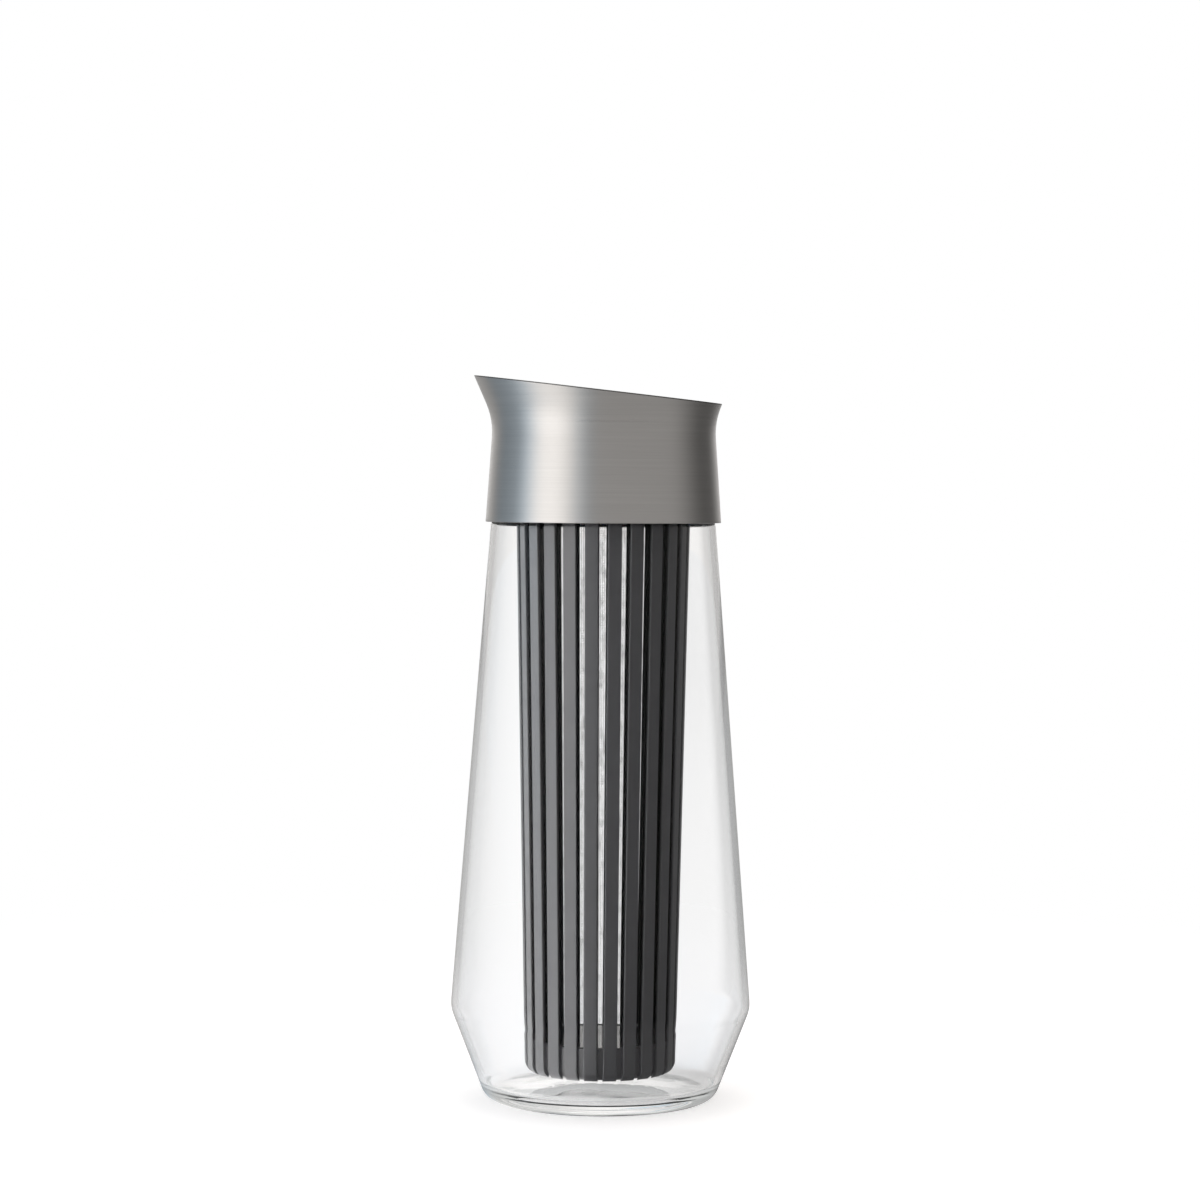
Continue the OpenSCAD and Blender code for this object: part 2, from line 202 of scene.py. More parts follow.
class CarafeColours(PropertyGroup):
    """Colours of the finishes"""

    glass: tint("Glass", "Tint of the clear glass", 0.99, 0.99, 0.99)
    cage: tint("Cage", "Dark grey plastic of the filter's cage", 0.062, 0.061, 0.0665)
    mesh: tint("Mesh", "Dark thread of the filter's mesh", 0.05, 0.05, 0.05)
    steel: tint("Steel", "Brushed steel of the collar", 0.56, 0.545, 0.53)
    cap: tint("Flap cap", "Brushed steel of the flap", 0.6, 0.59, 0.58)
    pin: tint("Pin", "Bright steel of the hinge pin", 0.66, 0.655, 0.64)
    core: tint("Core", "Black plastic of the collar's core and the flap's frame", 0.02, 0.02, 0.021)
    silicone: tint("Silicone", "Milky silicone of the gasket and the seal", 0.62, 0.62, 0.6)
    floor: tint("Floor", "Pale floor", 0.96, 0.925, 0.915)


class CarafeStudio(PropertyGroup):
    """Camera and lights"""

    distance: length("Distance", "From the carafe's axis to the camera", 1248.8)
    azimuth: angle("Azimuth", "Turn of the camera round the carafe", 11.8)
    height: length("Height", "Height of the camera", 225.9)
    pitch: angle("Pitch", "How far the camera looks down", 1.911)
    roll: angle("Roll", "Lean of the camera", 0.36)
    sideways: length("Sideways", "Shift of the camera to its right", -1.05)
    focal: level("Focal length", "Focal length in pixels of the picture", 3391.8)
    backdrop: level("Backdrop", "Level of the white behind the carafe", 1.0)
    room: level("Room", "Level of the room all round", 0.42)
    overhead: level("Overhead", "Level that the light overhead adds", 0.8)
    window: level("Window", "Level that the soft window on the left adds", 1.35)
    shade: level("Shade", "Level that the dark screens at the sides take away", 0.29)
    floor_glow: level("Floor glow", "Level of the floor's own even light near the carafe", 0.45)
    under_glow: level("Foot glow", "Level of the floor's own light right under the carafe", 0.95)
    cage_key: level("Filter key", "Level of the light from the left that only the filter gets", 1.7)
    floor_gloss: level("Floor in reflections", "Level of the floor as the pieces mirror it", 0.42)


SETTINGS = {"carafe_glass": CarafeGlass, "carafe_filter": CarafeFilter, "carafe_collar": CarafeCollar,
            "carafe_flap": CarafeFlap, "carafe_colours": CarafeColours, "carafe_studio": CarafeStudio}


def plan(scene):
    """All sizes in one place: the properties, and the heights and radii that follow from them."""
    p = SimpleNamespace()
    for group in ("carafe_glass", "carafe_filter", "carafe_collar", "carafe_flap"):
        owner = getattr(scene, group)
        for name in owner.__annotations__:
            setattr(p, name, getattr(owner, name))
    p.foot_r, p.waist_r, p.shoulder_r = p.foot_d / 2, p.waist_d / 2, p.shoulder_d / 2
    p.neck_r = p.shoulder_r - p.neck_step
    p.neck_in_r = p.neck_r - p.glass_wall
    p.neck_z = p.shoulder_z + p.neck_rise
    p.mouth_z = p.neck_z + p.neck_h
    p.lip_round = p.glass_wall * 0.45
    p.foot_ring_r = p.foot_r - p.foot_round - p.foot_ring_w
    p.plug_r = p.neck_in_r - p.slip_gap
    p.flange_r = p.neck_r - p.flange_inset
    p.flange_z = p.mouth_z + p.rest_gap
    p.flange_top_z = p.flange_z + p.flange_t
    p.rim_z = p.mouth_z - p.rim_h
    p.rib_top_z = p.rim_z + p.rib_socket
    p.cage_z = p.glass_floor + p.floor_rise + p.floor_gap
    p.cup_top_z = p.cage_z + p.cup_h
    p.sleeve_in = p.rib_depth + p.rest_gap + p.mesh_wall
    p.wall_in = p.sleeve_in + p.mesh_ledge
    p.cage_r = lambda z: p.plug_r - p.rib_inset - (p.mouth_z - z) * tan(p.cage_draft)
    p.collar_z = p.shoulder_z + p.collar_rise
    p.collar_r = p.shoulder_r + p.collar_gap + p.steel_t
    p.throat_r = p.neck_r + p.throat_step
    p.throat_z = p.mouth_z + p.throat_rise
    p.cut_z = p.throat_z + p.rim_rise
    p.flare_top_z = p.cut_z + (p.throat_r + p.rim_rise) * tan(p.rim_tilt) + p.rim_rise
    p.flare_top_r = p.throat_r + (p.flare_top_z - p.throat_z) * tan(p.flare_angle)
    p.collar_path = [(p.collar_r, p.collar_z, 0), (p.throat_r, p.throat_z, p.throat_round),
                     (p.flare_top_r, p.flare_top_z, 0)]
    p.liner_z = p.neck_z + p.slip_gap
    p.liner_in_r = p.neck_r + p.slip_gap
    p.deck_z = p.flange_top_z + p.rest_gap
    p.deck_top_z = p.deck_z + p.deck_t
    p.liner_top_z = p.deck_top_z + p.coaming_h
    p.groove_r = p.neck_r + p.lip_gap + 2 * p.gasket_band
    p.gasket_z = p.liner_z + p.liner_lip
    p.seat_top_z = p.deck_top_z + p.seat_h
    p.seal_z = p.seat_top_z + p.rest_gap
    p.frame_z = p.seal_z + p.seal_t
    p.plate_z = p.frame_z + p.frame_t + p.fit_gap
    p.plate_r = p.pour_r + p.seat_w + p.plate_lap
    p.frame_r = p.plate_r - p.plate_t - p.fit_gap
    p.seal_r = p.pour_r + p.seat_w / 2
    p.knuckle_r = p.pin_r + p.knuckle_wall
    p.hinge_x = p.plate_r - p.pour_shift + p.hinge_reach
    p.hinge_z = p.deck_top_z + p.knuckle_r + p.side_gap
    p.heel_l = p.knuckle_r + p.side_gap / 2
    p.ear_y = p.knuckle_l / 2 + p.side_gap
    p.pin_l = 2 * (p.ear_y + p.ear_t)
    return p


# Outlines: a path is a list of corners (x, y, rounding)


def unit(v):
    return v / np.linalg.norm(v)


def circle(t):
    """Points of the unit circle at the angles t."""
    return np.stack([np.cos(t), np.sin(t)], 1)


def corner_arc(a, b, c):
    """The arc that rounds corner b: its centre lies on the bisector of the sides to a and c, at the
    rounding over the sine of the half angle, and it turns through 180 degrees less that corner."""
    corner, radius = np.array(b[:2]), b[2]
    u, v = unit(np.array(a[:2]) - corner), unit(np.array(c[:2]) - corner)
    half = np.arccos(np.clip(u @ v, -1, 1)) / 2
    if half > pi / 2 - STRAIGHT:
        return corner[None]
    centre = corner + unit(u + v) * radius / sin(half)
    start = corner + u * radius / tan(half) - centre
    bend = np.sign(-u[0] * v[1] + u[1] * v[0])
    sweep = (pi - 2 * half) * bend
    steps = max(2, int(np.ceil(abs(sweep) / ARC_STEP)))
    t = np.arctan2(start[1], start[0]) + sweep * np.linspace(0, 1, steps + 1)
    return centre + radius * circle(t)


def rounded(path, closed=False):
    """The points of a path with every corner that has a rounding swapped for its arc."""
    n = len(path)
    runs = []
    for i, corner in enumerate(path):
        inner = closed or 0 < i < n - 1
        runs.append(corner_arc(path[i - 1], corner, path[(i + 1) % n])
                    if inner and corner[2] > 0 else np.array([corner[:2]]))
    return np.concatenate(runs)


def shifted(path, d):
    """A path moved to its left by d: each corner along the mitre of its two sides, with the
    roundings kept concentric."""
    xy = np.array([c[:2] for c in path])
    side = np.diff(xy, axis=0)
    left = np.stack([-side[:, 1], side[:, 0]], 1) / np.linalg.norm(side, axis=1)[:, None]
    before, after = np.vstack([left[:1], left]), np.vstack([left, left[-1:]])
    moved = xy + d * (before + after) / (1 + np.sum(before * after, 1))[:, None]
    bend = np.sign(before[:, 0] * after[:, 1] - before[:, 1] * after[:, 0])
    return [(x, y, 0 if b == 0 else max(LEAST_ROUND, c[2] - b * d))
            for (x, y), b, c in zip(moved, bend, path)]


def refined(points, step):
    """The same line with points at most a step apart."""
    gap = np.linalg.norm(np.diff(points, axis=0), axis=1)
    runs = [np.linspace(a, b, max(1, int(np.ceil(g / step))), endpoint=False)
            for a, b, g in zip(points[:-1], points[1:], gap)]
    return np.concatenate(runs + [points[-1:]])


def dome(r, z, h, steps=10):
    """A shallow dome from the axis out to r: its height falls with the square of the radius."""
    t = np.linspace(0, 1, steps + 1)
    return np.stack([r * t, z + h * (1 - t * t)], 1)


def flanked(rows, arc, near=0.15):
    """Rows of corner arcs with two more points on each flat between them, a small share of the flat
    away from its ends: the flats keep an even normal and only the arcs look round."""
    n = rows.shape[1]
    runs = []
    for i in range(0, n, arc):
        end, start = rows[:, [i + arc - 1]], rows[:, [(i + arc) % n]]
        runs += [rows[:, i:i + arc], end + (start - end) * near, start + (end - start) * near]
    return np.concatenate(runs, axis=1)


# Surfaces: a shell is a grid of points, skinned with quads


def turned(profile, middle=0.0, columns=AROUND):
    """Turns a profile of (radius, height) round an upright axis: the point at angle a is
    (middle + radius cos a, radius sin a, height). A middle for each row may shift its axis along X."""
    a = np.linspace(0, 2 * pi, columns, endpoint=False)
    r, z = profile[:, :1], profile[:, 1:2]
    x = np.reshape(middle, (-1, 1)) + r * np.cos(a)
    return np.stack([x, r * np.sin(a), np.broadcast_to(z, x.shape)], 2)


def skin(points, ring=False):
    """Quads over a grid of (rows, columns): columns close on themselves, and rows do where ring is
    set. A row whose points coincide becomes one vertex, so poles are closed with triangles. The
    faces are turned so that the shell's volume, the sum of its signed tetrahedra, is positive."""
    rows, columns = points.shape[:2]
    index = np.arange(rows * columns).reshape(rows, columns)
    pole = np.ptp(points, axis=1).max(axis=1) < POLE
    index[pole] = index[pole][:, :1]
    along = np.linalg.norm(np.diff(points, axis=0), axis=2).mean(axis=1)
    v = np.concatenate([[0], np.cumsum(along)])
    u = np.arange(columns + 1) / columns
    low, high = (index, np.roll(index, -1, 0)) if ring else (index[:-1], index[1:])
    v_low, v_high = (v, np.append(v[1:], v[-1])) if ring else (v[:-1], v[1:])
    quads = np.stack([low, np.roll(low, -1, 1), np.roll(high, -1, 1), high], 2).reshape(-1, 4)
    corners = ((u[:-1], v_low), (u[1:], v_low), (u[1:], v_high), (u[:-1], v_high))
    uv = np.stack([np.stack(np.broadcast_arrays(across, up[:, None]), 2) for across, up in corners], 2)
    uv = uv.reshape(-1, 4, 2)
    flat = points.reshape(-1, 3)
    a, b, c, d = np.moveaxis(flat[quads], 1, 0)
    volume = np.sum(np.cross(a, b) * c) + np.sum(np.cross(a, c) * d)
    if volume < 0:
        quads, uv = quads[:, ::-1], uv[:, ::-1]
    return flat, quads, uv


def bored_bar(p, outline, bore, start, stop):
    """A bar along the hinge with a bore on its axis: rows run up the bore, out over one end to the
    outline, along it and back over the other end. The outline is seen from the axis at every angle,
    and the bore's points lie on the same rays. The outer edges are rounded by one slanted row."""
    ray = outline / np.linalg.norm(outline, axis=1, keepdims=True)
    soft = p.edge / 2 * np.sign(stop - start)
    inset = outline - ray * p.edge / 2
    rings = [(bore * ray, start), (inset, start), (outline, start + soft), (outline, stop - soft),
             (inset, stop), (bore * ray, stop)]
    rows = np.stack([np.stack([p.hinge_x + o[:, 0], np.full(len(o), y), p.hinge_z + o[:, 1]], 1)
                     for o, y in rings])
    return skin(rows, ring=True)


def make_piece(name, shells, material, body, node):
    """One object from skinned shells: it rides on a body and stands for a node of the solids."""
    points, faces, corners, base = [], [], [], 0
    for flat, quads, uv in shells:
        used, where = np.unique(quads, return_inverse=True)
        points.append(flat[used])
        where = where.reshape(quads.shape) + base
        fresh = where != np.roll(where, 1, axis=1)
        for sides in (4, 3):
            chosen = fresh.sum(1) == sides
            faces += where[chosen][fresh[chosen]].reshape(-1, sides).tolist()
            corners.append(uv[chosen][fresh[chosen]])
        base += len(used)
    mesh = bpy.data.meshes.new(name)
    mesh.from_pydata(np.concatenate(points).tolist(), [], faces)
    layer = mesh.uv_layers.new(name="Surface")
    layer.data.foreach_set("uv", np.concatenate(corners).astype(np.float32).ravel())
    mesh.polygons.foreach_set("use_smooth", np.ones(len(mesh.polygons), bool))
    mesh.set_sharp_from_angle(angle=SHARP)
    if mesh.validate():
        raise RuntimeError(f"{name} has faces that had to be repaired")
    mesh.materials.append(material)
    piece = bpy.data.objects.new(name, mesh)
    bpy.context.scene.collection.objects.link(piece)
    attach(piece, body)
    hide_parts(node)


# Shader trees


class Wire:
    """A node's output. Reckoning with it adds Math nodes to its tree."""

    def __init__(self, tree, socket):
        self.tree, self.socket = tree, socket

    def math(self, operation, *others):
        return add(self.tree, "Math", dict(enumerate((self, *others))), operation=operation)[0]

    __add__ = partialmethod(math, "ADD")
    __sub__ = partialmethod(math, "SUBTRACT")
    __mul__ = partialmethod(math, "MULTIPLY")
    __gt__ = partialmethod(math, "GREATER_THAN")
    __lt__ = partialmethod(math, "LESS_THAN")
    __abs__ = partialmethod(math, "ABSOLUTE")
    or_more = partialmethod(math, "MAXIMUM")


def add(tree, kind, inputs=None, **settings):
    """A node with its settings, and with each input either linked to a wire or set. Returns its
    outputs as wires, by number and by name."""
    node = tree.nodes.new("ShaderNode" + kind)
    for key, value in settings.items():
        setattr(node, key, value)
    for key, value in (inputs or {}).items():
        if isinstance(value, Wire):
            tree.links.new(value.socket, node.inputs[key])
        else:
            node.inputs[key].default_value = value
    wires = {}
    for number, socket in enumerate(node.outputs):
        wires[number] = wires[socket.name] = Wire(tree, socket)
    return wires


def remap(value, low, high, to_low=0.0, to_high=1.0, smooth=False):
    """Maps a value from one span to another, held at its ends."""
    return add(value.tree, "MapRange", {"Value": value, "From Min": low, "From Max": high,
                                        "To Min": to_low, "To Max": to_high},
               interpolation_type="SMOOTHSTEP" if smooth else "LINEAR")["Result"]


def noise(vector, scale, detail, roughness):
    return add(vector.tree, "TexNoise", {"Vector": vector, "Scale": scale, "Detail": detail,
                                         "Roughness": roughness})["Fac"]


def stretched(vector, *scale):
    return add(vector.tree, "Mapping", {"Vector": vector, "Scale": scale})["Vector"]


def axes(vector):
    parts = add(vector.tree, "SeparateXYZ", {0: vector})
    return parts["X"], parts["Y"], parts["Z"]


def distance(vector):
    return add(vector.tree, "VectorMath", {0: vector}, operation="LENGTH")["Value"]


def bump(height, depth, strength):
    return add(height.tree, "Bump", {"Height": height, "Distance": depth, "Strength": strength})["Normal"]


def blend(factor, a, b):
    """Mixes two colours by a factor."""
    return add(factor.tree, "Mix", {0: factor, 6: a, 7: b}, data_type="RGBA")[2]


def rgba(colour, gain=1.0):
    return (*[min(1.0, c * gain) for c in colour], 1.0)


def emission(strength, colour=WHITE):
    return add(strength.tree, "Emission", {"Color": colour, "Strength": strength})[0]


def mixed(factor, a, b):
    """Mixes two shaders by a factor."""
    return add(factor.tree, "MixShader", {0: factor, 1: a, 2: b})[0]


def principled(tree, **inputs):
    return add(tree, "BsdfPrincipled", {key.replace("_", " "): v for key, v in inputs.items()})["BSDF"]


def effect(build):
    """Turns a function of a vector and a scale that gives named masks into a shader node group. The
    group is made when it is first placed, and what is returned here places it in a vector's tree."""
    name = build.__name__.replace("_", " ").capitalize()

    @wraps(build)
    def place(vector, scale):
        group = bpy.data.node_groups.get(name)
        if group is None:
            group = bpy.data.node_groups.new(name, "ShaderNodeTree")
            for label, kind in (("Vector", "NodeSocketVector"), ("Scale", "NodeSocketFloat")):
                group.interface.new_socket(label, in_out="INPUT", socket_type=kind)
            source = group.nodes.new("NodeGroupInput").outputs
            masks = build(Wire(group, source["Vector"]), Wire(group, source["Scale"]))
            for label in masks:
                group.interface.new_socket(label, in_out="OUTPUT", socket_type="NodeSocketFloat")
            sink = group.nodes.new("NodeGroupOutput").inputs
            for label, mask in masks.items():
                group.links.new(mask.socket, sink[label])
        return add(vector.tree, "Group", {"Vector": vector, "Scale": scale}, node_tree=group)

    return place


def painted(paint):
    """Turns a function that paints the tree of its Object coordinates and gives a shader into one that
    makes the material of a name, or finds it where it is there already."""

    @wraps(paint)
    def made(name, *values, **options):
        material = bpy.data.materials.get(name)
        if material is None:
            material = bpy.data.materials.new(name)
            material.use_nodes = True
            tree = material.node_tree
            tree.nodes.clear()
            coords = add(tree, "TexCoord")["Object"]
            add(tree, "OutputMaterial", {"Surface": paint(coords, *values, **options)})
        return material

    return made


@effect
def brushed_lines(vector, scale):
    """Fine scratches along the short side of the stretched coordinates: noise in two finenesses."""
    fine, coarse = noise(vector, scale, 3.0, 0.7), noise(vector, scale * 0.21, 2.0, 0.6)
    return {"Shade": remap(coarse * 0.5 + fine * 0.5, 0.3, 0.7), "Gloss": remap(coarse, 0.25, 0.75),
            "Height": fine}


@effect
def moulded_grain(vector, scale):
    """Moulded plastic: a fine bead-blasted grain, with broad faint clouding."""
    speck, cloud = noise(vector, scale, 2.0, 0.6), noise(vector, scale * 0.03, 3.0, 0.5)
    return {"Shade": remap(speck * 0.6 + cloud * 0.4, 0.3, 0.7), "Gloss": remap(cloud, 0.3, 0.7),
            "Height": speck}


@effect
def handling_marks(vector, scale):
    """Faint marks of handling and rinsing: soft patches."""
    return {"Marks": remap(noise(vector, scale, 4.0, 0.6), 0.5, 0.8, smooth=True)}


@painted
def brushed_metal(coords, colour, scale, roughness, anisotropy=0.0, cut=None):
    """Brushed steel: the lines vary its colour, its gloss and its height. Where a cut is given, a
    function of the coordinates, the steel there carries painted shade, a darker colour, and is rougher."""
    lines = brushed_lines(stretched(coords, *scale), 1.0)
    gloss = (remap(lines["Gloss"], 0.0, 1.0, roughness - 0.03, roughness + 0.05)
             + handling_marks(coords, 55.0)["Marks"] * 0.05)
    base = blend(lines["Shade"], rgba(colour, 0.93), rgba(colour, 1.07))
    if cut:
        # painted shade: the colour darkens along the cut, and the steel there is rougher
        dull = cut(coords)
        base, gloss = blend(dull, base, rgba(colour, 0.25)), gloss + dull * 0.2
    grip = {}
    if anisotropy:
        tangent = add(coords.tree, "Tangent", direction_type="UV_MAP", uv_map="Surface")[0]
        grip = {"Anisotropic": anisotropy, "Anisotropic_Rotation": 0.25, "Tangent": tangent}
    return principled(coords.tree, Base_Color=base, Metallic=1.0, Roughness=gloss,
                      Normal=bump(lines["Height"], 0.02 * MM, 0.25), **grip)


@painted
def moulded_plastic(coords, colour, grain, roughness, specular=0.5, stain=None):
    """Satin plastic with a fine grain. Where a function of the coordinates that gives two masks is
    given, the first is painted shade: the plastic is darkened there and mirrors nothing, as a dark
    metal would. In the second it is smooth."""
    mould = moulded_grain(coords, grain)
    gloss = (remap(mould["Gloss"], 0.0, 1.0, roughness - 0.04, roughness + 0.05)
             + handling_marks(coords, 70.0)["Marks"] * 0.06)
    base = blend(mould["Shade"], rgba(colour, 0.84), rgba(colour, 1.16))
    dark = 0.0
    if stain:
        # painted shade: the first mask darkens the base colour and takes away the sheen; the second smooths
        dark, smooth = stain(coords)
        base, gloss = blend(dark, base, rgba(colour, 0.1)), gloss - smooth * (roughness * 0.85)
    return principled(coords.tree, Base_Color=base, Metallic=dark, Roughness=gloss, IOR=PLASTIC_IOR,
                      Specular_IOR_Level=specular, Normal=bump(mould["Height"], 0.004 * MM, 0.4))


@painted
def soft_silicone(coords, colour):
    """Milky silicone: soft sheen, light under the skin and a little clouding."""
    mould = moulded_grain(coords, 2500.0)
    return principled(coords.tree,
                      Base_Color=blend(mould["Shade"], rgba(colour, 0.94), rgba(colour, 1.04)),
                      Roughness=remap(mould["Gloss"], 0.0, 1.0, 0.42, 0.55),
                      Subsurface_Weight=0.25, Subsurface_Scale=1.5 * MM,
                      Normal=bump(mould["Height"], 0.02 * MM, 0.3))


@painted
def clear_glass(coords, colour):
    """Fire-polished glass: nearly even, with the slow waves of blown glass, swirls in the thick foot
    and faint marks. A shadow ray passes straight through it, and so does a ray that was mirrored
    twice inside it."""
    waves = noise(stretched(coords, 1.0, 1.0, 0.5), 28.0, 1.0, 0.4)
    swirls = noise(stretched(coords, 1.0, 1.0, 0.2), 48.0, 0.6, 0.3)
    foot = remap(axes(coords)[2], 12 * MM, 5 * MM, 0.0, 9.0, smooth=True)
    marks = handling_marks(coords, 30.0)["Marks"]
    thrown = add(coords.tree, "Fresnel", {"IOR": GLASS_IOR})[0]
    glass = principled(coords.tree, Base_Color=rgba(colour), IOR=GLASS_IOR, Transmission_Weight=1.0,
                       Specular_Tint=remap(thrown, 0.2, 0.9, 0.12, 1.0),
                       Roughness=remap(marks, 0.0, 1.0, 0.0, 0.02),
                       Normal=bump(waves + swirls * foot, 0.4 * MM, 0.25))
    rays = add(coords.tree, "LightPath")
    trapped = rays["Glossy Depth"] > 1.5
    shadow_tint, trapped_tint = (0.93, 0.94, 0.94, 1.0), (0.82, 0.83, 0.83, 1.0)
    clear = add(coords.tree, "BsdfTransparent", {"Color": blend(trapped, shadow_tint, trapped_tint)})[0]
    return mixed(rays["Is Shadow Ray"].or_more(trapped), glass, clear)


@painted
def woven_mesh(coords, colour, around, pitch, thread):
    """Fine open weave on the sleeve's own UV map: a thread lies within half its width of each whole
    step round and along, and the rest is open. Dried drops fill a few of the openings."""
    u, v, _ = axes(add(coords.tree, "UVMap", uv_map="Surface")["UV"])
    half = thread / pitch / 2
    round_it, along_it = [
        remap((axis * count).math("PINGPONG", 0.5), half * 0.7, half * 1.3, 1.0, 0.0)
        for axis, count in ((u, around), (v, 1 / pitch))]
    drops = remap(noise(stretched(coords, 1.0, 1.0, 0.4), 420.0, 3.0, 0.6), 0.5, 0.75, 0.02, 0.2)
    shade = noise(coords, 900.0, 2.0, 0.5)
    return principled(coords.tree, Base_Color=blend(shade, rgba(colour, 0.85), rgba(colour, 1.1)),
                      Roughness=remap(shade, 0.3, 0.7, 0.6, 0.8), Specular_IOR_Level=0.1,
                      Alpha=round_it.or_more(along_it).or_more(drops))


# Pieces


class Step:
    """What the steps that build pieces share: each is handed the plan and the colours."""

    def execute(self, context):
        self.build(plan(context.scene), context.scene.carafe_colours)
        return {"FINISHED"}


def core_plastic(colours):
    return moulded_plastic("core_finish", colours.core, 6000.0, 0.42)


def silicone(colours):
    return soft_silicone("silicone_finish", colours.silicone)


class CARAFE_OT_glass_body(Step, Operator):
    """Build the clear glass body"""

    bl_idname = "carafe.glass_body"
    bl_label = "Glass body"

    def build(self, p, colours):
        """One closed profile turned round Z: up the outside, over the lip and down the inside."""
        side = [(p.foot_r, 0, p.foot_round), (p.waist_r, p.waist_z, p.waist_round),
                (p.shoulder_r, p.shoulder_z, p.shoulder_round), (p.neck_r, p.neck_z, p.neck_round),
                (p.neck_r, p.mouth_z, p.lip_round)]
        bore = shifted(side, p.glass_wall)
        lean = (bore[1][0] - bore[0][0]) / (bore[1][1] - bore[0][1])
        floor_r = bore[0][0] + (p.glass_floor - bore[0][1]) * lean
        floor_ring_r = floor_r - p.floor_round
        outline = rounded([(p.foot_ring_r, 0, 0), *side, (p.neck_in_r, p.mouth_z, p.lip_round),
                           bore[3], bore[2], bore[1], (floor_r, p.glass_floor, p.floor_round),
                           (floor_ring_r, p.glass_floor, 0)])
        profile = np.concatenate([
            dome(p.foot_ring_r, 0, p.punt_h)[:-1], refined(outline, 6 * MM),
            dome(floor_ring_r, p.glass_floor, p.floor_rise)[-2::-1]])
        make_piece("carafe_glass", [skin(turned(profile))], clear_glass("glass_finish", colours.glass),
                   "carafe", "glass_body")


class CARAFE_OT_filter_cage(Step, Operator):
    """Build the filter's ribs, cup and rim"""

    bl_idname = "carafe.filter_cage"
    bl_label = "Filter cage"

    def build(self, p, colours):
        # painted shade on the slots' walls between the ribs, and a smooth cup floor
        plastic = moulded_plastic("cage_finish", colours.cage, 5000.0, 0.38, specular=1.0,
                                  stain=lambda coords: self.stain(p, coords))
        for name, shells, node in (
                ("cage_ribs", [skin(bar) for bar in self.ribs(p)], "filter_ribs"),
                ("cage_cup", [skin(turned(self.cup(p)))], "filter_cup"),
                ("cage_rim", [skin(turned(self.rim(p)), ring=True)], "filter_rim")):
            make_piece(name, shells, plastic, "filter", node)

    def stain(self, p, coords):
        """Two masks. The first is painted shade on the slots' walls, in the recess between the ribs: it grows
        from the ribs' outer faces inwards, measured from a cone with the cage's draft, and stops at the
        cup and at the rim. The second is one on the cup's smooth floor."""
        z, out = axes(coords)[2], distance(stretched(coords, 1.0, 1.0, 0.0))
        cone = out - z * tan(p.cage_draft)
        inward = remap(cone, p.cage_r(0) - 0.1 * MM, p.cage_r(0) - 1.2 * MM)
        above = remap(z, p.cup_top_z + 0.2 * MM, p.cup_top_z + MM)
        below = remap(z, p.rim_z + MM, p.rim_z - MM)
        floor_z = p.cup_top_z - p.mesh_ledge
        floor_r = p.cage_r(floor_z) - p.wall_in
        level_with = remap(abs(z - floor_z), 0.2 * MM, 0.1 * MM)
        # painted shade on the slots' walls, then the cup floor's smoothness
        return inward * above * below, level_with * remap(out, floor_r, floor_r - MM)

    def ribs(self, p, arc=7, bend=14, rise=12, least=0.02 * MM):
        """A rounded rectangle carried up each rib. Its inner face leans with the draft, and its outer
        face leaves it along the arc of the cage's bottom edge, then leans too. The ends close on
        their middles. The bar is turned to every rib's angle. Each corner has arc points, the rows
        are bend round the bottom edge and rise up the side, and the bar has at least its least depth."""
        centre_r, centre_z = p.cage_r(p.cage_z) - p.cage_round, p.cage_z + p.cage_round
        swing = np.arcsin((p.cage_round - p.rib_depth) / p.cage_round)
        t = np.linspace(swing, pi / 2, bend)
        low = np.stack([centre_r + p.cage_round * np.sin(t), centre_z - p.cage_round * np.cos(t)], 1)
        high_z = np.linspace(centre_z, p.rib_top_z, rise)[1:]
        outer = np.concatenate([low, np.stack([p.cage_r(high_z), high_z], 1)])[..., None]
        z = outer[:, 1]
        inner = p.cage_r(z) - p.rib_depth
        depth = np.maximum(outer[:, 0] - inner, least)
        edge = np.minimum(p.rib_edge, depth * 0.45)
        turn = (np.arange(4)[:, None] * pi / 2 + np.linspace(0, pi / 2, arc)).ravel()
        sign_x, sign_y = np.repeat([1, -1, -1, 1], arc), np.repeat([1, 1, -1, -1], arc)
        x = flanked(inner + depth / 2 + sign_x * (depth / 2 - edge) + edge * np.cos(turn), arc)
        y = flanked(sign_y * (p.rib_w / 2 - edge) + edge * np.sin(turn), arc)
        bar = np.stack([x, y, np.broadcast_to(z, x.shape)], 2)
        ends = np.broadcast_to(bar.mean(axis=1, keepdims=True), bar.shape)
        bar = np.concatenate([ends[:1], bar, ends[-1:]])
        a = (np.arange(p.rib_count) + 0.5) * 2 * pi / p.rib_count + p.cage_turn
        c, s = np.cos(a)[:, None, None], np.sin(a)[:, None, None]
        return np.stack([bar[..., 0] * c - bar[..., 1] * s, bar[..., 0] * s + bar[..., 1] * c,
                         np.broadcast_to(bar[..., 2], (p.rib_count, *bar.shape[:2]))], 3)

    def cup(self, p):
        """One profile from pole to pole: the hollow under the floor, the band between the ribs, the
        ledge for the mesh and the floor at the foot of the slots."""
        low, top = p.cage_z + p.rib_proud / 5, p.cup_top_z - p.mesh_ledge
        hollow_r = p.cage_r(low) - p.rib_proud - p.cage_round - p.cup_floor / 2
        ledge_r, soft = p.cage_r(p.cup_top_z) - p.wall_in, p.mesh_ledge / 3
        return refined(rounded([
            (0, top - p.cup_floor, 0), (hollow_r, top - p.cup_floor, p.edge), (hollow_r, low, p.edge),
            (p.cage_r(low) - p.rib_proud, low, p.cage_round),
            (p.cage_r(p.cup_top_z) - p.rib_proud, p.cup_top_z, p.edge),
            (ledge_r, p.cup_top_z, soft), (ledge_r, top, soft), (0, top, 0)]), 4 * MM)

